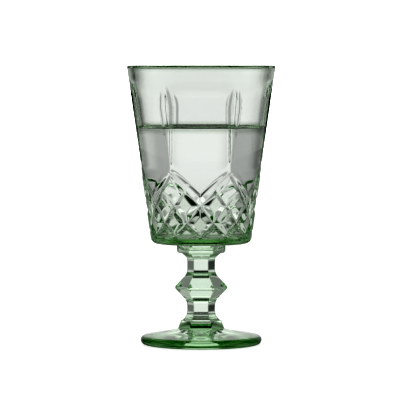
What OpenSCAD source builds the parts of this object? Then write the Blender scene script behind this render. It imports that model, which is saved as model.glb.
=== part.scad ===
// Pressed glass goblet in three fused pieces: a bowl with petal and diamond cuts,
// a six-sided stem with a knop, and a round foot with six panels.
// +Z is up, and the origin is on the table under the centre of the foot. Millimetres.

/* [Bowl] */
// Height of the whole glass, from the table to the rim
glass_h = 148; // [142:0.5:156]
// Outer diameter of the bowl at the rim
rim_d = 79.1; // [76:0.1:82]
// Outer diameter at the foot of the bowl's wall
bowl_base_d = 53.8; // [51:0.1:56]
// Height of the bowl's flat underside above the table
bowl_z = 53.6; // [52:0.1:56]
// Wall thickness between the cuts
wall_t = 3.4; // [3.2:0.1:4.5]
// Thickness of the bowl's solid bottom
bottom_t = 3.6; // [3:0.1:6]
// Radius of the rounded outer corner under the bowl
bowl_corner_r = 3.5; // [1:0.1:4]
// Radius of the rounded inner corner at the bottom of the cavity
cavity_corner_r = 4; // [2:0.1:6]
// Radius of the two fire-polished edges of the rim
lip_r = 1.3; // [0.5:0.1:1.6]

/* [Cut pattern] */
// Number of petals round the bowl
petals = 6; // [5:1:7]
// Height of the points where two petals and two long grooves meet
junction_z = 91.1; // [90:0.1:92]
// Height of one row of the diamond lattice
row_h = 8.03; // [7.9:0.01:8.2]
// Depth of the long grooves under the petals, at their middle
long_groove_depth = 1.9; // [1:0.1:2]
// Depth of the short grooves, at their middle
short_groove_depth = 1.5; // [0.8:0.1:1.8]
// Angle between the two flanks of a groove
groove_angle = 114; // [90:1:130]
// Height of the upper tip of the lens-shaped cuts between the petals
lens_top_z = 139; // [134:0.5:140]
// Width of a lens-shaped cut
lens_w = 6.4; // [4:0.1:8]
// Depth of a lens-shaped cut
lens_depth = 0.9; // [0.5:0.1:1.2]

/* [Stem] */
// Width across the corners of the collar under the bowl
collar_d = 25.9; // [24:0.1:28]
// Height of the collar
collar_h = 4.9; // [4:0.1:5.5]
// Width across the corners of the neck between the collar and the knop
upper_neck_d = 15; // [14.4:0.1:15.6]
// Width across the corners of the knop
knop_d = 27.9; // [27:0.1:28.5]
// Height of the knop's widest point above the table
knop_z = 30.2; // [29.8:0.1:31]
// Width across the corners of the neck between the knop and the foot
lower_neck_d = 15; // [14.4:0.1:15.6]
// Width across the corners where the stem stands on the foot
stem_base_d = 19.8; // [19:0.1:20.4]

/* [Foot] */
// Diameter of the foot
foot_d = 64.4; // [60:0.1:68]
// Height of the six-sided step on the foot, above the table
step_z = 12.8; // [12:0.1:13.5]
// Width across the corners at the top of the step
step_top_d = 21.2; // [21:0.1:23]
// Width across the corners at the bottom of the step
step_base_d = 24.6; // [24:0.1:26]
// Height of the bottom of the step above the table
dome_z = 8.4; // [7.8:0.1:9]
// Thickness of the foot at its rounded edge
edge_h = 4.8; // [4:0.1:5]
// Depth of the shallow recess under the foot
recess_h = 2.4; // [0.5:0.1:2.8]
// Radius of the recess under the foot
recess_r = 25; // [20:0.5:26]

/* [Hidden] */

$fn = 96;
glass_green = [0.72, 0.84, 0.74, 0.6];

// The bowl's wall is a straight cone
wall_slope = (rim_d - bowl_base_d) / 2 / (glass_h - bowl_z - bowl_corner_r);
wall_tilt = atan(wall_slope);
function wall_r(z) = bowl_base_d / 2 + wall_slope * (z - bowl_z - bowl_corner_r);
function cavity_r(z) = wall_r(z) - wall_t / cos(wall_tilt);

// Steps of the arcs that round the bowl's corners, its lip, the foot's recess and its edge
corner_steps = 6;
lip_steps = 5;
recess_steps = 12;
edge_steps = 10;

// A round corner as points from angle a0 to a1 about (x, z)
function arc(x, z, r, a0, a1, steps) =
    [for (i = [0 : steps]) let (a = a0 + (a1 - a0) * i / steps) [x + r * cos(a), z + r * sin(a)]];

// Distance from the axis to the centre of a corner of radius r, which rounds a wall that would
// meet a level line at line_r
function wall_corner_x(r, line_r) = line_r - r * (1 - sin(wall_tilt)) / cos(wall_tilt);

cavity_z = bowl_z + bottom_t;
outer_corner_x = wall_corner_x(bowl_corner_r, wall_r(bowl_z));
cavity_corner_x = wall_corner_x(cavity_corner_r, cavity_r(cavity_z));

module bowl_blank() {
    top_out = wall_r(glass_h);
    top_in = cavity_r(glass_h);
    rotate_extrude()
        polygon(concat(
            [[0, bowl_z]],
            arc(outer_corner_x, bowl_z + bowl_corner_r, bowl_corner_r, -90, -wall_tilt, corner_steps),
            arc(top_out - lip_r, glass_h - lip_r, lip_r, 0, 90, lip_steps),
            arc(top_in + lip_r, glass_h - lip_r, lip_r, 90, 180, lip_steps),
            arc(cavity_corner_x, cavity_z + cavity_corner_r, cavity_corner_r,
                -wall_tilt, -90, corner_steps),
            [[0, cavity_z]]));
}

// Share of its depth that a groove has lost at its half length
end_loss = 0.8;
// How far a cutting ring sticks out of the wall
ring_clearance = 1.5;
// How far a cutting ring reaches past a groove's half length
ring_margin = 1.1;

// Part of a ring with a V-shaped outer edge, which cuts one groove where it bites into the wall.
// It leans by rise, and it bites deepest at angle turn and height z. Its radius sets the groove's
// length.
module groove(turn, z, rise, depth, half_length) {
    curve = pow(cos(rise), 2) / wall_r(z);
    ring_r = 1 / (curve - 2 * end_loss * depth / pow(half_length, 2));
    reach = asin(ring_margin * half_length / ring_r);
    half_w = (depth + ring_clearance) * tan(groove_angle / 2);
    rotate([0, 0, turn])
        translate([wall_r(z), 0, z])
            rotate([0, wall_tilt, 0])
                rotate([rise, 0, 0])
                    translate([-ring_r, 0, 0])
                        rotate([0, 0, -reach])
                            rotate_extrude(angle = 2 * reach)
                                polygon([
                                    [ring_r - depth, 0],
                                    [ring_r + ring_clearance, -half_w],
                                    [ring_r + ring_clearance, half_w]]);
}

petal_angle = 360 / petals;
column_angle = petal_angle / 4;
long_z = junction_z - 2 * row_h;
short_z = junction_z - 2.5 * row_h;
// Half lengths of the grooves, in diagonals of the lattice's cells
long_half = 1.95;
short_half = 1.5;

// The lattice leans by the diagonal of one of its cells
function lean(z) = atan(row_h / (wall_r(z) * column_angle * PI / 180));
function diagonal(z) = norm([row_h, wall_r(z) * column_angle * PI / 180]);

// Long grooves start where two petals meet and run down to the bottom of the lattice
module long_grooves(side) {
    for (i = [0 : petals - 1])
        groove(i * petal_angle, long_z, side * lean(long_z),
            long_groove_depth, long_half * diagonal(long_z));
}

// Short grooves start one row lower, where a long groove bounds a petal
module short_grooves(side) {
    for (i = [0 : petals - 1])
        groove((i + 0.5) * petal_angle - side * column_angle / 2, short_z, side * lean(short_z),
            short_groove_depth, short_half * diagonal(short_z));
}

// Height between the points where two petals meet and the lower tip of the lens over them
lens_gap = 9;
// How far a cutting wheel reaches past the lens's tips
wheel_margin = 1.2;

// A cutting wheel with a round rim, which leaves a pointed lens where it touches the wall
module lens_cut() {
    half_l = (lens_top_z - junction_z - lens_gap) / 2;
    mid_z = lens_top_z - half_l;
    rim_r = 1 / (8 * lens_depth / pow(lens_w, 2) - 1 / wall_r(mid_z));
    wheel_r = pow(half_l, 2) / 2 / lens_depth;
    reach = asin(wheel_margin * half_l / wheel_r);
    translate([wall_r(mid_z), 0, mid_z])
        rotate([0, wall_tilt, 0])
            translate([wheel_r - lens_depth, 0, 0])
                rotate([90, 0, 0])
                    rotate([0, 0, 180 - reach])
                        rotate_extrude(angle = 2 * reach)
                            translate([wheel_r - rim_r, 0])
                                circle(r = rim_r);
}

module lens_cuts() {
    for (i = [0 : petals - 1])
        rotate([0, 0, (i + 0.5) * petal_angle])
            lens_cut();
}

// The five sets of cuts are made one after another, so that no set crosses itself
module cuts(set) {
    if (set == 1) lens_cuts();
    if (set == 2) long_grooves(-1);
    if (set == 3) long_grooves(1);
    if (set == 4) short_grooves(-1);
    if (set == 5) short_grooves(1);
}

module cut_bowl(sets) {
    if (sets == 0)
        bowl_blank();
    else
        difference() {
            cut_bowl(sets - 1);
            cuts(sets);
        }
}

module bowl() {
    color(glass_green)
        rotate([0, 0, -90])
            cut_bowl(5);
}

// A six-sided solid whose corners lie on the given outline of [half width, height] points.
// One pair of flats faces -Y and +Y.
module six_sided(outline) {
    flat = cos(30);
    side = concat(
        [for (p = outline) [p[0] * flat, p[1]]],
        [for (i = [len(outline) - 1 : -1 : 0]) [-outline[i][0] * flat, outline[i][1]]]);
    intersection_for(turn = [30, 90, 150])
        rotate([0, 0, turn])
            rotate([90, 0, 0])
                linear_extrude(height = 3 * max([for (p = outline) p[0]]), center = true)
                    polygon(side);
}

// The arc that rounds the corner b between the points a and c
function fillet(a, b, c, r, steps) =
    let (
        back = (a - b) / norm(a - b),
        ahead = (c - b) / norm(c - b),
        half = acos(back * ahead) / 2,
        turn = 180 - 2 * half,
        centre = b + (back + ahead) / norm(back + ahead) * r / sin(half),
        from = b + back * r / tan(half) - centre,
        to = b + ahead * r / tan(half) - centre)
    [for (i = [0 : steps])
        let (t = turn * i / steps)
        centre + (sin(turn - t) * from + sin(t) * to) / sin(turn)];

// An outline through corners given as [half width, height, rounding, steps of its arc]
function point(corner) = [corner[0], corner[1]];
function outline(corners) = concat(
    [point(corners[0])],
    [for (i = [1 : len(corners) - 2])
        let (c = corners[i])
        each fillet(point(corners[i - 1]), point(c), point(corners[i + 1]), c[2], c[3])],
    [point(corners[len(corners) - 1])]);

// Height gained for each millimetre of half width on the slopes over and under the knop
knop_slope = 1.03;
// How much of the knop's point its rounding takes away
knop_blunting = 0.47;
knop_point_r = knop_d / 2 + knop_blunting;
upper_neck_end = knop_z + knop_slope * (knop_point_r - upper_neck_d / 2);
lower_neck_end = knop_z - knop_slope * (knop_point_r - lower_neck_d / 2);
// The flare at the bottom of the stem
base_flare_h = 3;
// The collar's shallow underside, and the flare of the neck under it
collar_z = bowl_z - collar_h;
collar_ledge_w = 2.8;
collar_ledge_h = 0.5;
collar_flare_h = 2.8;

// The stem's outline at its corners, from the foot up to the bowl
stem_outline = outline([
    [stem_base_d / 2, step_z],
    [lower_neck_d / 2, step_z + base_flare_h, 9, 4],
    [lower_neck_d / 2, lower_neck_end, 5.7, 4],
    [knop_point_r, knop_z, 1.2, 3],
    [upper_neck_d / 2, upper_neck_end, 5.7, 4],
    [upper_neck_d / 2, collar_z - collar_flare_h, 7, 4],
    [collar_d / 2 - collar_ledge_w, collar_z - collar_ledge_h, 0.5, 2],
    [collar_d / 2, collar_z, 1.5, 3],
    [collar_d / 2, bowl_z]]);

module stem() {
    color(glass_green)
        six_sided(stem_outline);
}

foot_edge_r = edge_h / 2;
rim_x = foot_d / 2 - foot_edge_r;

// The round disc with a rounded edge, which stands on a flat ring round a shallow recess. The
// recess is highest in the middle and runs out level at both ends.
module foot_disc() {
    recess = [
        for (i = [0 : recess_steps])
            let (share = i / recess_steps)
            [recess_r * share, recess_h * pow(cos(90 * share), 2)]];
    rotate_extrude()
        polygon(concat(
            recess,
            arc(rim_x, foot_edge_r, foot_edge_r, -90, 90, edge_steps),
            [[0, edge_h]]));
}

// Six panels that rise from the round edge to the six-sided step
module foot_panels() {
    // The panels start a little inside the disc
    overlap = 0.1;
    hull() {
        translate([0, 0, edge_h - overlap])
            cylinder(r = rim_x, h = overlap);
        translate([0, 0, dome_z - overlap])
            cylinder(d = step_base_d, h = overlap, $fn = 6);
    }
}

// The step starts inside the disc, over the top of the recess
module foot_step() {
    bevel = 0.5;
    root = 1;
    six_sided([
        [step_base_d / 2, edge_h - root],
        [step_base_d / 2, dome_z],
        [step_top_d / 2, step_z - bevel],
        [step_top_d / 2 - bevel, step_z]]);
}

module foot() {
    color(glass_green)
        union() {
            foot_disc();
            foot_panels();
            foot_step();
        }
}

bowl();
stem();
foot();
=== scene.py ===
"""A pressed green glass goblet, part filled with water, on a white table under soft studio light.

The three glass pieces and the water are closed meshes made of rings of points about the goblet's
axis. Their lengths are millimetres until make_piece turns them into metres; the table and the
camera are placed in metres. The pieces' angles run round the axis from the side that faces the
camera, -Y, towards +X.
"""

import math

import bpy
import numpy as np
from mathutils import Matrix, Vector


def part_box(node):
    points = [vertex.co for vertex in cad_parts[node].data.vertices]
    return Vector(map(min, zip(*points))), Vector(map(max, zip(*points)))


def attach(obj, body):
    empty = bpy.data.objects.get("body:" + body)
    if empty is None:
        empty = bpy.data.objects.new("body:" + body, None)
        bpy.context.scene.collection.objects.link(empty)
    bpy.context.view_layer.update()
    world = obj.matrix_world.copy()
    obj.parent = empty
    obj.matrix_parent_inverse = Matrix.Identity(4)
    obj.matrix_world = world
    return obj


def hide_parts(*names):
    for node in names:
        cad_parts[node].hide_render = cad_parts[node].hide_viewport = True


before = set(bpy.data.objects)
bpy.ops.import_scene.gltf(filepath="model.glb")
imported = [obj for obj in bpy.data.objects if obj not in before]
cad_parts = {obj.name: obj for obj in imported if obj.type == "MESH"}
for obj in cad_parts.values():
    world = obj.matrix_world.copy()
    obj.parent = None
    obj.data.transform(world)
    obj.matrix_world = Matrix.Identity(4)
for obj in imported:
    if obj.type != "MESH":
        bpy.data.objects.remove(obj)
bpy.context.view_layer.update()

MM = 0.001


def cad(node):
    """The lowest and highest corner of a CAD node, in millimetres."""
    lo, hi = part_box(node)
    return lo / MM, hi / MM


bowl_lo, bowl_hi = cad("bowl")
stem_hi = cad("stem")[1]
foot_hi = cad("foot")[1]

# Room left between faces that touch, so that no two of them lie in the same place
SEAM_GAP = 0.02

# ---------------------------------------------------------------- rings of points

COLUMNS = 360


def ring_angles(half_step=0):
    """The angle of each point of a ring, in degrees."""
    return (np.arange(COLUMNS) + half_step) * 360 / COLUMNS


def ring(radius, z, half_step=0):
    """A ring of points about the axis. radius is a number, or an array with one value a point."""
    angle = np.radians(ring_angles(half_step))
    radius = radius * np.ones(COLUMNS)
    return np.stack([radius * np.sin(angle), -radius * np.cos(angle), z * np.ones(COLUMNS)], axis=1)


def arc(x, z, r, start, end, steps):
    """Points on a round corner about (x, z), from one angle in degrees to another."""
    a = np.radians(np.linspace(start, end, steps + 1))
    return [(x + r * c, z + r * s) for c, s in zip(np.cos(a), np.sin(a))]


def rounded(corners, turn_per_step=9.0, support=0.12, most_of_side=0.48):
    """An outline through (radius, height, rounding) corners, each rounded by an arc.

    A point a little outside each end of an arc keeps the straight stretches flat when they are shaded.
    An arc takes no more than most_of_side of the shorter of its two sides.
    """
    points = [corners[0][:2]]
    for before, (x, z, r), after in zip(corners, corners[1:], corners[2:]):
        here = np.array((x, z))
        back = np.array(before[:2]) - here
        ahead = np.array(after[:2]) - here
        back_length, ahead_length = np.linalg.norm(back), np.linalg.norm(ahead)
        back, ahead = back / back_length, ahead / ahead_length
        half = math.acos(np.clip(back @ ahead, -1, 1)) / 2
        tangent = min(r / math.tan(half), most_of_side * min(back_length, ahead_length))
        r = tangent * math.tan(half)
        middle = (back + ahead) / np.linalg.norm(back + ahead)
        centre = here + middle * r / math.sin(half)
        start = here + back * tangent - centre
        end = here + ahead * tangent - centre
        turn = math.pi - 2 * half
        count = max(2, math.ceil(math.degrees(turn) / turn_per_step))
        if tangent + support < back_length / 2:
            points.append(tuple(here + back * (tangent + support)))
        for i in range(count + 1):
            t = i / count
            spoke = (math.sin((1 - t) * turn) * start + math.sin(t * turn) * end) / math.sin(turn)
            points.append(tuple(centre + spoke))
        if tangent + support < ahead_length / 2:
            points.append(tuple(here + ahead * (tangent + support)))
    points.append(corners[-1][:2])
    return points


def skin(rings, steps, marks):
    """The points and faces of a closed skin over the rings, and each face's mark.

    A cap closes the first ring and another the last. steps holds the half step by which each ring is
    turned, and marks one number for each strip of faces, the caps first and last.
    """
    columns = len(rings[0])
    points = np.concatenate(rings + [rings[0].mean(0)[None], rings[-1].mean(0)[None]])
    first_pole, last_pole = len(points) - 2, len(points) - 1
    faces = []
    face_marks = []
    for i in range(columns):
        faces.append((first_pole, (i + 1) % columns, i))
        face_marks.append(marks[0])
    for row in range(len(rings) - 1):
        low, high = row * columns, (row + 1) * columns
        lead = round(2 * (steps[row + 1] - steps[row]))
        for i in range(columns):
            j = (i + 1) % columns
            if lead == 0:
                strip = [(low + i, low + j, high + j, high + i)]
            elif lead == 1:
                strip = [(low + i, low + j, high + i), (low + j, high + j, high + i)]
            else:
                strip = [(low + i, high + j, high + i), (low + i, low + j, high + j)]
            faces += strip
            face_marks += [marks[row + 1]] * len(strip)
    top = (len(rings) - 1) * columns
    for i in range(columns):
        faces.append((last_pole, top + i, top + (i + 1) % columns))
        face_marks.append(marks[-1])
    return points, faces, face_marks


def make_piece(name, points, faces, materials, face_ior=None, face_material=None, painted_shade_share=None):
    """A smooth mesh object from points in millimetres, on the goblet's body."""
    mesh = bpy.data.meshes.new(name)
    mesh.from_pydata((points * MM).tolist(), [], faces)
    mesh.update()
    mesh.shade_smooth()
    for material in materials:
        mesh.materials.append(material)
    if face_ior is not None:
        attribute = mesh.attributes.new("interface_ior", "FLOAT", "FACE")
        attribute.data.foreach_set("value", face_ior)
    # Each point's share of painted shade, a darker green painted into the glass's colour
    if painted_shade_share is not None:
        attribute = mesh.attributes.new("painted_shade", "FLOAT", "POINT")
        attribute.data.foreach_set("value", painted_shade_share)
    if face_material is not None:
        mesh.polygons.foreach_set("material_index", face_material)
    piece = bpy.data.objects.new(name, mesh)
    bpy.context.scene.collection.objects.link(piece)
    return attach(piece, "root")


def smooth_max(a, b, width):
    """The larger of two depths, with the crease between them rounded over the given width."""
    near = np.maximum(width - np.abs(a - b), 0) / width
    return np.maximum(a, b) + near * near * width / 4


def smooth_step(x, start, end):
    """A share that grows from 0 to 1 as x goes from start to end, and is level at both."""
    t = np.clip((x - start) / (end - start), 0, 1)
    return t * t * (3 - 2 * t)


# ---------------------------------------------------------------- the bowl's wall

RIM_Z = bowl_hi.z
RIM_R = bowl_hi.x
BOWL_Z = bowl_lo.z
CORNER_R = 3.5
# The wall's radius level with the centre of the base's round corner
BASE_R = 26.9
LIP_R = 1.3
LIP_Z = RIM_Z - LIP_R
WALL_T = 3.4
FLOOR_T = 3.6
FLOOR_Z = BOWL_Z + FLOOR_T
CAVITY_CORNER_R = 4.0

WALL_SLOPE = (RIM_R - BASE_R) / (RIM_Z - BOWL_Z - CORNER_R)
WALL_TILT = math.atan(WALL_SLOPE)
WALL_TILT_DEGREES = math.degrees(WALL_TILT)


def wall_r(z):
    return BASE_R + WALL_SLOPE * (z - BOWL_Z - CORNER_R)


def cavity_r(z):
    return wall_r(z) - WALL_T / math.cos(WALL_TILT)


def corner_centre_r(bottom_r, r):
    """How far from the axis a corner's arc is centred. Left sharp, the corner would be at bottom_r."""
    return bottom_r - r * (1 - math.sin(WALL_TILT)) / math.cos(WALL_TILT)


CAVITY_CORNER_X = corner_centre_r(cavity_r(FLOOR_Z), CAVITY_CORNER_R)
CAVITY_CORNER_Z = FLOOR_Z + CAVITY_CORNER_R

# ---------------------------------------------------------------- the bowl's pattern

PETAL_COUNT = 6
PETAL_ANGLE = 360 / PETAL_COUNT
COLUMN_ANGLE = PETAL_ANGLE / 4

# Heights of the lattice's rows, from the points where two petals meet down to the plain base
ROW_HEIGHTS = [91.1, 82.9, 74.7, 65.6, 59.0]
ROW_H = ROW_HEIGHTS[0] - ROW_HEIGHTS[1]
LAST_ROW_H = ROW_HEIGHTS[-2] - ROW_HEIGHTS[-1]
# The rows go on two past each end, at the spacing that they have there
ROWS = [-2, 0, 1, 2, 3, 4, 6]
LEVELS = [ROW_HEIGHTS[0] + 2 * ROW_H] + ROW_HEIGHTS + [ROW_HEIGHTS[-1] - 2 * LAST_ROW_H]

# Grooves: depths in millimetres, half lengths in diagonals of the lattice
LONG_DEPTH, SHORT_DEPTH = 1.95, 1.7
LONG_HALF, SHORT_HALF = 2.35, 1.75
# How far below its middle a groove is deepest, in diagonals
DEEPEST_ALONG = 0.05
FLANK_SLOPE = 0.57
# A long groove's flank is gentler next to a petal, fully so this many diagonals above its middle
PETAL_SIDE_SLOPE = 0.45
PETAL_SIDE_ALONG = 0.5
GROOVE_BOTTOM_R = 0.22
EDGE_ROUND = 0.22

PETAL_DEPTH = 1.0
PETAL_HOLLOW = 0.35
PETAL_TOP_Z = 141.5
PETAL_FULL_Z = 130.0
# Heights over a petal's foot where its hollow starts and where it is fully sunk
PETAL_FADE_LOW, PETAL_FADE_HIGH = -0.8, 8.0

LENS_TOP_Z = 139.0
LENS_WIDE_Z = 126.0
LENS_BOTTOM_Z = 97.0
LENS_HALF_W = 2.4
LENS_DEPTH = 0.2
# Widths of the soft edge on the lens's side of its outline and on the petal's side
LENS_EDGE_INNER, LENS_EDGE_OUTER = 0.6, 1.8
# Heights over a lens's bottom between which it melts into the petals
LENS_MELT_LOW, LENS_MELT_HIGH = -3, 2


def row_of(z):
    """The lattice row at a height, counted downwards from the points where two petals meet."""
    return np.interp(z, LEVELS[::-1], ROWS[::-1])


def height_of(row):
    """The height of a lattice row, whole or not."""
    return np.interp(row, ROWS, LEVELS)


def groove(angle, z, centre_angle, centre_row, side, depth, half_length, petal_side):
    """How far one V-shaped groove cuts in.

    Going down, it leans towards greater angles where side is 1 and towards smaller ones where it is -1.
    """
    away = (angle - centre_angle + 180) % 360 - 180
    columns = away / COLUMN_ANGLE
    rows = row_of(z) - centre_row
    column_w = math.radians(COLUMN_ANGLE) * wall_r(z)
    across = (columns - side * rows) * column_w * ROW_H / np.hypot(column_w, ROW_H)
    along = (rows + side * columns) / 2
    bottom = depth * (1 - ((along - DEEPEST_ALONG) / half_length) ** 2)
    petal = petal_side * (across * side > 0) * smooth_step(-along, 0, PETAL_SIDE_ALONG)
    slope = FLANK_SLOPE + (PETAL_SIDE_SLOPE - FLANK_SLOPE) * petal
    return bottom - slope * (np.hypot(across, GROOVE_BOTTOM_R) - GROOVE_BOTTOM_R)


def petals(angle, z):
    """The sunk petals, and the lenses left proud between neighbours."""
    from_ridge = np.radians(np.abs((angle % PETAL_ANGLE) - PETAL_ANGLE / 2)) * wall_r(z)
    over = np.clip((LENS_TOP_Z - z) / (LENS_TOP_Z - LENS_WIDE_Z), 0, 1)
    under = np.clip((z - LENS_BOTTOM_Z) / (LENS_WIDE_Z - LENS_BOTTOM_Z), 0, 1)
    half_w = LENS_HALF_W * np.minimum(np.sqrt(over), under)
    off_lens = smooth_step(from_ridge, half_w - LENS_EDGE_INNER, half_w + LENS_EDGE_OUTER)
    melted = 1 - smooth_step(z, LENS_BOTTOM_Z + LENS_MELT_LOW, LENS_BOTTOM_Z + LENS_MELT_HIGH)
    off_lens = off_lens + (1 - off_lens) * melted
    lens = LENS_DEPTH * (1 - (from_ridge / LENS_HALF_W) ** 2)
    half_petal = math.radians(PETAL_ANGLE / 2) * wall_r(z)
    petal = PETAL_DEPTH + PETAL_HOLLOW * (1 - (1 - from_ridge / half_petal) ** 2)
    return (lens * (1 - off_lens) + petal * off_lens) * (1 - smooth_step(z, PETAL_FULL_Z, PETAL_TOP_Z))


def carving(angle, z):
    """How far the cut pattern lies under the plain cone, at each angle and height."""
    from_centre = np.abs((angle + PETAL_ANGLE / 2) % PETAL_ANGLE - PETAL_ANGLE / 2)
    petal_foot = height_of((PETAL_ANGLE / 2 - from_centre) / COLUMN_ANGLE)
    depth = petals(angle, z) * smooth_step(z - petal_foot, PETAL_FADE_LOW, PETAL_FADE_HIGH)
    depth = np.maximum(depth, 0)
    for side in (-1, 1):
        for i in range(PETAL_COUNT):
            cut = groove(angle, z, i * PETAL_ANGLE, 2, side, LONG_DEPTH, LONG_HALF, True)
            depth = smooth_max(depth, cut, EDGE_ROUND)
            centre = (i + 0.5) * PETAL_ANGLE + side * COLUMN_ANGLE / 2
            cut = groove(angle, z, centre, 2.5, side, SHORT_DEPTH, SHORT_HALF, False)
            depth = smooth_max(depth, cut, EDGE_ROUND)
    return depth


# ---------------------------------------------------------------- six-sided forms

HALF_SIDE = math.radians(30)
FLAT = math.cos(HALF_SIDE)

# Distance to a corner where the stem meets the bowl and where it meets the foot
STEM_TOP_R = 12.97
STEM_BASE_R = 9.9
# Rounding of the corners on the bowl's underside and on the foot's step, and on the stem
SEAT_ROUND = 0.6
STEM_EDGE_ROUND = 0.5


def hexagon_r(angle, corner_r, rounding):
    """Distance from the axis to a rounded hexagon, one flat towards the camera, at angles in degrees."""
    flat_r = corner_r * FLAT
    centre = (flat_r - rounding) / FLAT
    from_flat = np.radians(np.abs((angle + 30) % 60 - 30))
    from_corner = HALF_SIDE - from_flat
    past_centre = np.sqrt(np.maximum(rounding ** 2 - (centre * np.sin(from_corner)) ** 2, 0))
    bend = centre * np.cos(from_corner) + past_centre
    bend_start = math.atan((flat_r - rounding) * math.tan(HALF_SIDE) / flat_r)
    return np.where(from_flat > bend_start, bend, flat_r / np.cos(from_flat))


def hexagon_ring(corner_r, z, rounding, bend_steps=6, flat_steps=10):
    """A rounded hexagon with its points gathered at the corners, one flat towards the camera."""
    flat_r = corner_r * FLAT
    rounding = min(rounding, flat_r / 2)
    centre = (flat_r - rounding) / FLAT
    half_flat = (flat_r - rounding) * math.tan(HALF_SIDE)
    points = []
    for i in range(6):
        facing = 2 * i * HALF_SIDE
        for share in np.linspace(-1, 1, flat_steps, endpoint=False)[1:]:
            aside = share * half_flat
            x = flat_r * math.sin(facing) + aside * math.cos(facing)
            y = aside * math.sin(facing) - flat_r * math.cos(facing)
            points.append((x, y, z))
        corner = facing + HALF_SIDE
        for share in np.linspace(-1, 1, bend_steps + 1):
            bend = corner + share * HALF_SIDE
            x = centre * math.sin(corner) + rounding * math.sin(bend)
            y = -centre * math.cos(corner) - rounding * math.cos(bend)
            points.append((x, y, z))
    return np.array(points)


# ---------------------------------------------------------------- materials

GLASS_IOR = 1.5
WATER_IOR = 1.333
WETTED_IOR = GLASS_IOR / WATER_IOR
FUSED_IOR = 1.0

# The colour of the painted shade: a darker green painted into the glass's colour where it is to look
# darkest, such as the foot's rim and the bowl's base
PAINTED_SHADE_COLOUR = (0.3, 0.42, 0.27, 1)
WHITE = (1, 1, 1, 1)
ABSORPTION = {"Color": (0.2, 0.84, 0.16, 1), "Density": 10.5}
# Painted shade on edges and outlines: how nearly edge-on a surface is seen where the painted shade starts
# and where it is full, and how full that is
EDGE_ON_SHADE = {"From Min": 0.6, "From Max": 0.95, "To Max": 0.92}

# Which sockets of a Mix node hold its two colours and their mix
FIRST_COLOUR, SECOND_COLOUR, MIXED_COLOUR = 6, 7, 2


def add_node(tree, kind, values=(), **settings):
    """A new node, with values for its input sockets and its own settings."""
    node = tree.nodes.new(kind)
    for name, value in settings.items():
        setattr(node, name, value)
    for socket, value in dict(values).items():
        node.inputs[socket].default_value = value
    return node


def math_node(tree, operation, *values):
    """The result of a Math node. Its values are numbers or the outputs of other nodes."""
    node = add_node(tree, "ShaderNodeMath", operation=operation)
    for socket, value in zip(node.inputs, values):
        if isinstance(value, (int, float)):
            socket.default_value = value
        else:
            tree.links.new(value, socket)
    return node.outputs[0]


def soft_range(tree, value, limits):
    """The result of a Map Range node that eases in and out between its limits."""
    node = add_node(tree, "ShaderNodeMapRange", limits, interpolation_type="SMOOTHSTEP")
    tree.links.new(value, node.inputs["Value"])
    return node.outputs["Result"]


def clear_material(name, ripple_scale, ripple_detail, ripple_strength, ripple_depth):
    """A clear, smooth material with a faint ripple that is fixed to the piece."""
    material = bpy.data.materials.new(name)
    material.use_nodes = True
    tree = material.node_tree
    shader = tree.nodes["Principled BSDF"]
    shader.inputs["Base Color"].default_value = WHITE
    shader.inputs["Roughness"].default_value = 0.0
    shader.inputs["Transmission Weight"].default_value = 1.0
    place = add_node(tree, "ShaderNodeTexCoord")
    ripple = add_node(tree, "ShaderNodeTexNoise", {"Scale": ripple_scale, "Detail": ripple_detail})
    bump = add_node(tree, "ShaderNodeBump", {"Strength": ripple_strength, "Distance": ripple_depth})
    tree.links.new(place.outputs["Object"], ripple.inputs["Vector"])
    tree.links.new(ripple.outputs["Fac"], bump.inputs["Height"])
    tree.links.new(bump.outputs["Normal"], shader.inputs["Normal"])
    return material, tree, shader


def glass_material():
    """Pale green pressed glass, rippled by its mould, with painted shade: a darker green painted by place
    and where a surface is seen edge-on.
    """
    material, tree, shader = clear_material("green_pressed_glass_with_painted_shade", 90.0, 1.0, 0.06, 0.00012)
    # Painted shade: the darker green mixed into the base colour, by each point's share and where a
    # surface is seen edge-on
    shade_attribute = add_node(tree, "ShaderNodeAttribute", attribute_name="painted_shade")
    facing = add_node(tree, "ShaderNodeLayerWeight", {"Blend": 0.5})
    edge_on_shade = soft_range(tree, facing.outputs["Facing"], EDGE_ON_SHADE)
    glass_and_shade = {FIRST_COLOUR: WHITE, SECOND_COLOUR: PAINTED_SHADE_COLOUR}
    colour = add_node(tree, "ShaderNodeMix", glass_and_shade, data_type="RGBA")
    tree.links.new(math_node(tree, "MAXIMUM", shade_attribute.outputs["Fac"], edge_on_shade), colour.inputs["Factor"])
    tree.links.new(colour.outputs[MIXED_COLOUR], shader.inputs["Base Color"])
    interface = add_node(tree, "ShaderNodeAttribute", attribute_name="interface_ior")
    tree.links.new(interface.outputs["Fac"], shader.inputs["IOR"])
    depth = add_node(tree, "ShaderNodeVolumeAbsorption", ABSORPTION)
    tree.links.new(depth.outputs["Volume"], tree.nodes["Material Output"].inputs["Volume"])
    return material


def water_material(name, ior):
    """Clear water with the faintest ripple."""
    material, tree, shader = clear_material(name, 60.0, 2.0, 0.05, 0.0002)
    shader.inputs["IOR"].default_value = ior
    return material


glass = glass_material()

# ---------------------------------------------------------------- the bowl

WATER_Z = 115.0
# How far the water climbs the wall above its level, and how far from the wall it has mostly fallen
CLIMB = 1.1
CLIMB_REACH = 1.4
CONTACT_Z = WATER_Z + CLIMB

# Rings up the outer wall: for each row of the lattice, over its top row, and evenly on to the lip
STEPS_PER_ROW = 30
STEPS_OVER_LATTICE = 8
STEPS_TO_LIP = 46
CORNER_STEPS = 7
LIP_STEPS = 6
DRY_STEPS = 13
WET_STEPS = 19
CAVITY_CORNER_STEPS = 8

# Painted shade on the bowl, as shares of its colour: all of it at the base, fading over the first height
# given below, and at the lip
BASE_SHADE_H = 2.2
LIP_SHADE_SOFT = 0.4
LATTICE_SHADE, LATTICE_SHADE_TOP_Z = 0.45, 94.0
WATERLINE_SHADE, WATERLINE_HALF_H = 0.8, 0.05


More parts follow.
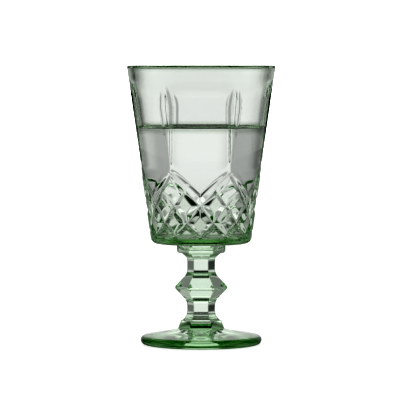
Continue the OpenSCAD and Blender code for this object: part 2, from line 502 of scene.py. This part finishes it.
def wall_heights():
    """Heights of the rings up the outer wall, closer together in the lattice than above it."""
    lowest_step = 2 * int(STEPS_PER_ROW * row_of(BOWL_Z + CORNER_R) / 2)
    steps = range(lowest_step, -STEPS_OVER_LATTICE - 1, -1)
    heights = [height_of(step / STEPS_PER_ROW) for step in steps]
    return heights + list(np.linspace(heights[-1], LIP_Z, STEPS_TO_LIP + 1)[1:])


def bowl_painted_shade(points):
    """How much painted shade each point has: the base, the lattice, the lip and the water's edge."""
    z = points[:, 2]
    outside = np.hypot(points[:, 0], points[:, 1]) > cavity_r(z) + WALL_T / 4
    base = outside * (1 - smooth_step(z, FLOOR_Z, FLOOR_Z + BASE_SHADE_H))
    lattice = outside * LATTICE_SHADE * (1 - smooth_step(z, FLOOR_Z, LATTICE_SHADE_TOP_Z))
    lip = smooth_step(z, LIP_Z - LIP_SHADE_SOFT, LIP_Z + LIP_SHADE_SOFT)
    waterline = WATERLINE_SHADE * ~outside * (np.abs(z - CONTACT_Z) < WATERLINE_HALF_H)
    return np.max([base, lattice, lip, waterline], axis=0)


def make_bowl():
    """The bowl, ring by ring: its underside, up the carved wall, over the lip and down the cavity."""
    rings, steps, marks = [], [], []

    def add(outline, ior, half_step=0):
        """Rings at (radius, height) points. ior is that of the strip of faces that ends at each."""
        for radius, z in outline:
            rings.append(ring(radius, z, half_step))
            steps.append(half_step)
            marks.append(ior)

    angles = ring_angles()
    corner_x = corner_centre_r(wall_r(BOWL_Z), CORNER_R)
    add([(hexagon_r(angles, STEM_TOP_R / 2, SEAT_ROUND / 2), BOWL_Z)], FUSED_IOR)
    add([(hexagon_r(angles, STEM_TOP_R, SEAT_ROUND), BOWL_Z)], FUSED_IOR)
    add([((STEM_TOP_R + corner_x) / 2, BOWL_Z)], GLASS_IOR)
    corner = arc(corner_x, BOWL_Z + CORNER_R, CORNER_R, -90, -WALL_TILT_DEGREES, CORNER_STEPS)
    add(corner[:-1], GLASS_IOR)
    for i, z in enumerate(wall_heights()):
        half_step = 0.5 * (i % 2)
        add([(wall_r(z) - carving(ring_angles(half_step), z), z)], GLASS_IOR, half_step)
    add(arc(wall_r(RIM_Z) - LIP_R, LIP_Z, LIP_R, 0, 90, LIP_STEPS)[1:], GLASS_IOR)
    add(arc(cavity_r(RIM_Z) + LIP_R, LIP_Z, LIP_R, 90, 180, LIP_STEPS), GLASS_IOR)
    dry = np.linspace(LIP_Z, CONTACT_Z, DRY_STEPS + 1)[1:]
    add([(cavity_r(z), z) for z in dry], GLASS_IOR)
    wet = np.linspace(CONTACT_Z, CAVITY_CORNER_Z, WET_STEPS + 1)[1:-1]
    add([(cavity_r(z), z) for z in wet], WETTED_IOR)
    inner_corner = arc(
        CAVITY_CORNER_X, CAVITY_CORNER_Z, CAVITY_CORNER_R, -WALL_TILT_DEGREES, -90, CAVITY_CORNER_STEPS)
    add(inner_corner, WETTED_IOR)
    add([(CAVITY_CORNER_X / 2, FLOOR_Z)], WETTED_IOR)
    points, faces, face_ior = skin(rings, steps, marks + [WETTED_IOR])
    # The bowl gets painted shade at its base, up the lattice, at the lip and at the water's edge
    piece = make_piece("goblet_bowl", points, faces, [glass], face_ior, painted_shade_share=bowl_painted_shade(points))
    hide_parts("bowl")
    return piece


# ---------------------------------------------------------------- the stem

# Corners of the stem's outline: distance from the axis to a hexagon's corner, height, and rounding
STEM_OUTLINE = [
    (STEM_BASE_R, foot_hi.z + SEAM_GAP, 0),
    (7.5, 15.8, 9.0),
    (7.5, 22.8, 5.7),
    (14.42, 30.15, 1.2),
    (7.48, 37.7, 5.7),
    (7.48, 45.86, 7.0),
    (10.2, 48.15, 0.5),
    (STEM_TOP_R, 48.7, 1.5),
    (STEM_TOP_R, stem_hi.z - SEAM_GAP, 0),
]


def make_stem():
    """Six-sided rings up the stem's outline, with one more inside each fused end."""
    outline = rounded(STEM_OUTLINE)
    base_r, base_z = outline[0]
    top_r, top_z = outline[-1]
    levels = [(base_r / 2, base_z)] + outline + [(top_r / 2, top_z)]
    rings = [hexagon_ring(r, z, STEM_EDGE_ROUND) for r, z in levels]
    marks = [FUSED_IOR] * 2 + [GLASS_IOR] * (len(rings) - 3) + [FUSED_IOR] * 2
    points, faces, face_ior = skin(rings, [0] * len(rings), marks)
    piece = make_piece("goblet_stem", points, faces, [glass], face_ior)
    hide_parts("stem")
    return piece


# ---------------------------------------------------------------- the foot

# The foot's round edge: its radius, and how far from the axis it is centred
EDGE_R = 2.4
EDGE_X = foot_hi.x - EDGE_R
# Where round the edge's arc the panels start, in degrees above level
EDGE_END_ANGLE = 78
EDGE_STEPS = 18
# The painted shade round the edge, and how far to each side of EDGE_X it takes to grow
EDGE_SHADE, EDGE_SHADE_SOFT = 0.87, 0.5

RECESS_R = 25.0
RECESS_H = 2.4
RECESS_STEPS = 15
# The innermost ring, as a share of the recess, and a ring this far inside the edge that keeps the
# flat ring under the foot flat when it is shaded
RECESS_CENTRE = 0.05
FLAT_SUPPORT = 0.3

# The panels end at the step's lowest corner, where its corners are rounded more than higher up
PANEL_END_R = 14.6
PANEL_END_Z = 7.75
PANEL_END_ROUND = 2.5
PANEL_STEPS = 14
STEP_BASE_R = 12.35
# Corners of the step's outline, from the panels up to the stem
STEP_OUTLINE = [
    (PANEL_END_R, PANEL_END_Z, 0),
    (STEP_BASE_R, 8.3, 1.0),
    (10.75, foot_hi.z, 0.5),
    (STEM_BASE_R, foot_hi.z, 0),
]


def foot_painted_shade(points):
    """How much painted shade each point of the foot has: only its edge is darkened."""
    from_axis = np.hypot(points[:, 0], points[:, 1])
    return EDGE_SHADE * smooth_step(from_axis, EDGE_X - EDGE_SHADE_SOFT, EDGE_X + EDGE_SHADE_SOFT)


def make_foot():
    """The foot, ring by ring: its recess, the round edge, the six panels and the six-sided step."""
    angles = ring_angles()
    rings = []
    for share in np.linspace(RECESS_CENTRE, 1, RECESS_STEPS + 1):
        rings.append(ring(RECESS_R * share, RECESS_H * math.cos(share * math.pi / 2) ** 2))
    rings.append(ring(EDGE_X - FLAT_SUPPORT, 0))
    edge = arc(EDGE_X, EDGE_R, EDGE_R, -90, EDGE_END_ANGLE, EDGE_STEPS)
    rings += [ring(r, z) for r, z in edge]
    start_r, start_z = edge[-1]
    end_r = hexagon_r(angles, PANEL_END_R, PANEL_END_ROUND)
    for i in range(1, PANEL_STEPS):
        share = i / PANEL_STEPS
        rings.append(ring(start_r + (end_r - start_r) * share, start_z + (PANEL_END_Z - start_z) * share))
    for r, z in rounded(STEP_OUTLINE):
        spread = max(0, (r - STEP_BASE_R) / (PANEL_END_R - STEP_BASE_R))
        rounding = SEAT_ROUND + (PANEL_END_ROUND - SEAT_ROUND) * spread
        rings.append(ring(hexagon_r(angles, r, rounding), z))
    rings.append(ring(hexagon_r(angles, STEM_BASE_R / 2, SEAT_ROUND / 2), foot_hi.z))
    marks = [GLASS_IOR] * (len(rings) - 1) + [FUSED_IOR] * 2
    points, faces, face_ior = skin(rings, [0] * len(rings), marks)
    # The foot gets painted shade round its edge
    piece = make_piece("goblet_foot", points, faces, [glass], face_ior, painted_shade_share=foot_painted_shade(points))
    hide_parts("foot")
    return piece


# ---------------------------------------------------------------- the water

# Distances from the wall of the rings on the water's surface, closest where it climbs
SURFACE_RINGS = (0.1, 0.25, 0.45, 0.7, 1.0, 1.4, 1.9, 2.5, 3.3, 4.5, 6.0, 9.0, 15.0, 24.0)
AT_GLASS, AT_SURFACE = 0, 1


def make_water():
    """Water that climbs the wall. Its sides and bottom touch the glass, so they don't bend light."""
    side = water_material("water_at_glass", FUSED_IOR)
    surface = water_material("water_surface", WATER_IOR)
    rings = [ring(CAVITY_CORNER_X / 2, FLOOR_Z + SEAM_GAP)]
    corner = arc(
        CAVITY_CORNER_X, CAVITY_CORNER_Z, CAVITY_CORNER_R - SEAM_GAP,
        -90, -WALL_TILT_DEGREES, CAVITY_CORNER_STEPS)
    rings += [ring(r, z) for r, z in corner]
    for z in np.linspace(CAVITY_CORNER_Z, CONTACT_Z, WET_STEPS + 1)[1:]:
        rings.append(ring(cavity_r(z) - SEAM_GAP, z))
    side_rings = len(rings)
    wall = cavity_r(CONTACT_Z) - SEAM_GAP
    for away in SURFACE_RINGS:
        rings.append(ring(wall - away, WATER_Z + CLIMB * math.exp(-away / CLIMB_REACH)))
    marks = [AT_GLASS] * side_rings + [AT_SURFACE] * (len(rings) + 1 - side_rings)
    points, faces, face_material = skin(rings, [0] * len(rings), marks)
    piece = make_piece("water_fill", points, faces, [side, surface], face_material=face_material)
    return piece


make_bowl()
make_stem()
make_foot()
make_water()

# ---------------------------------------------------------------- table, light and camera

# In metres. The table lies a hair below the foot, so that the two don't share a plane.
TABLE_HALF = 3.0
TABLE_DROP = 0.0002
TABLE_LOOK = {
    "Base Color": (0.9, 0.9, 0.9, 1),
    "Roughness": 0.6,
    "Emission Color": WHITE,
    "Emission Strength": 0.75,
}


def make_table():
    """A plain pale table, seen by the camera but not in the glass."""
    corners = [(x * TABLE_HALF, y * TABLE_HALF, 0) for x, y in ((-1, -1), (1, -1), (1, 1), (-1, 1))]
    mesh = bpy.data.meshes.new("table")
    mesh.from_pydata(corners, [], [(0, 1, 2, 3)])
    table = bpy.data.objects.new("table", mesh)
    table.location.z = -TABLE_DROP
    bpy.context.scene.collection.objects.link(table)
    table.visible_transmission = False
    table.visible_glossy = False
    material = bpy.data.materials.new("table_white")
    material.use_nodes = True
    shader = material.node_tree.nodes["Principled BSDF"]
    for socket, value in TABLE_LOOK.items():
        shader.inputs[socket].default_value = value
    mesh.materials.append(material)


# Soft light panels round the goblet. Each has its azimuth in degrees from the far side towards the
# right and its elevation, its half width and half height, the softness of its edges each way, and
# its brightness. A panel without an azimuth goes all the way round.
FILL_LIGHT = 0.09
CAMERA_WHITE = 2
LIGHT_PANELS = {
    "backdrop": (0, 39, 13, 52, 12, 8, 0.42),
    "backdrop_sides": (0, 8, 33, 19, 22, 8, 0.4),
    "high_back": (0, 34, 64, 18, 30, 16, 0.4),
    "right_card": (46, -6, 14, 6, 12, 8, 0.15),
    "left_side_card": (-48, 9, 20, 8, 14, 8, 0.2),
    "right_side_card": (48, 9, 20, 8, 14, 8, 0.42),
    "high_front": (180, 62, 48, 27, 30, 16, 1.1),
    "floor_right": (68, -58, 22, 26, 16, 16, 1.0),
    "floor_left": (-68, -58, 22, 26, 16, 16, 1.0),
    "right": (108, -8, 24, 14, 20, 10, 0.3),
    "left": (-108, -8, 24, 14, 20, 10, 0.3),
    "front": (180, -6, 48, 6, 30, 8, 0.3),
    "underneath": (None, -88, 0, 32, 0, 20, 0.6),
    "low_left": (-66, -26, 34, 14, 22, 12, 0.6),
    "low_right": (66, -26, 34, 14, 22, 12, 0.6),
    "low_front": (180, -17, 84, 9, 24, 8, 0.6),
    "side_left": (-92, -1, 18, 10, 14, 8, 0.7),
    "side_right": (92, -1, 18, 10, 14, 8, 0.7),
}


def soft_band(tree, angle, centre, half, soft):
    """One within half a width of an angle and nought beyond it, with a soft edge."""
    away = math_node(tree, "WRAP", math_node(tree, "SUBTRACT", angle, centre), 180, -180)
    limits = {"From Min": half + soft / 2, "From Max": half - soft / 2}
    return soft_range(tree, math_node(tree, "ABSOLUTE", away), limits)


def make_light():
    """The studio's light panels, on the world. The camera sees plain white in their place."""
    world = bpy.data.worlds.new("studio")
    bpy.context.scene.world = world
    world.use_nodes = True
    tree = world.node_tree
    place = add_node(tree, "ShaderNodeTexCoord")
    split = add_node(tree, "ShaderNodeSeparateXYZ")
    tree.links.new(place.outputs["Generated"], split.inputs[0])
    towards = math_node(tree, "ARCTAN2", split.outputs["X"], split.outputs["Y"])
    azimuth = math_node(tree, "DEGREES", towards)
    elevation = math_node(tree, "DEGREES", math_node(tree, "ARCSINE", split.outputs["Z"]))
    total = FILL_LIGHT
    for around, up, half_w, half_h, soft_w, soft_h, brightness in LIGHT_PANELS.values():
        panel = math_node(tree, "MULTIPLY", soft_band(tree, elevation, up, half_h, soft_h), brightness)
        if around is not None:
            panel = math_node(tree, "MULTIPLY", panel, soft_band(tree, azimuth, around, half_w, soft_w))
        total = math_node(tree, "ADD", panel, total)
    path = add_node(tree, "ShaderNodeLightPath")
    white = math_node(tree, "MULTIPLY", path.outputs["Is Camera Ray"], CAMERA_WHITE)
    background = tree.nodes["Background"]
    tree.links.new(math_node(tree, "ADD", total, white), background.inputs["Strength"])
    background.inputs["Color"].default_value = WHITE


# The camera stands level with the rim. Its distance is in metres, its lens in millimetres, and its
# angles in degrees: round the goblet, down, and aside.
CAMERA_DISTANCE = 1.43
CAMERA_LENS = 243.0
CAMERA_SENSOR = 36
CAMERA_AZIMUTH = 1.0
CAMERA_PITCH = 2.86
CAMERA_ASIDE = 0.0255
CAMERA_CLIP = 0.05, 20


def make_camera():
    """The camera, a little to the right of the goblet's front and looking slightly down."""
    data = bpy.data.cameras.new("camera")
    data.lens = CAMERA_LENS
    data.sensor_width = CAMERA_SENSOR
    data.clip_start, data.clip_end = CAMERA_CLIP
    camera = bpy.data.objects.new("camera", data)
    bpy.context.scene.collection.objects.link(camera)
    turn = math.radians(CAMERA_AZIMUTH)
    pitch = math.radians(CAMERA_PITCH)
    aside = math.radians(CAMERA_ASIDE)
    camera.location = (CAMERA_DISTANCE * math.sin(turn), -CAMERA_DISTANCE * math.cos(turn), RIM_Z * MM)
    camera.rotation_euler = (math.radians(90) - pitch, 0, turn + aside)
    bpy.context.scene.camera = camera


# The sRGB display value that becomes black, and where the curve above it has its points, as shares
CONTRAST_FLOOR = 0.3
CURVE_POINTS = (0.06, 0.15, 0.3, 0.5, 0.75)
ALL_CHANNELS = 3


def display_of(light):
    """The sRGB display value of a linear amount of light."""
    return 12.92 * light if light <= 0.0031308 else 1.055 * light ** (1 / 2.4) - 0.055


def light_of(shown):
    """The linear amount of light of an sRGB display value."""
    return shown / 12.92 if shown <= 0.04045 else ((shown + 0.055) / 1.055) ** 2.4


def set_contrast(view):
    """Pulls the dark tones down and leaves white as it is."""
    view.use_curve_mapping = True
    curve = view.curve_mapping.curves[ALL_CHANNELS]
    black = light_of(CONTRAST_FLOOR)
    curve.points[0].location = (black, 0)
    for share in CURVE_POINTS:
        light = black + share * (1 - black)
        curve.points.new(light, light_of((display_of(light) - CONTRAST_FLOOR) / (1 - CONTRAST_FLOOR)))
    view.curve_mapping.update()


def set_light_paths(cycles):
    """Lets light cross as many surfaces as the glass and the water put in its way."""
    cycles.max_bounces = 32
    cycles.transmission_bounces = 32
    cycles.glossy_bounces = 16
    cycles.transparent_max_bounces = 16
    cycles.volume_bounces = 0


make_table()
make_light()
make_camera()
scene = bpy.context.scene
scene.view_settings.view_transform = "Standard"
set_contrast(scene.view_settings)
set_light_paths(scene.cycles)
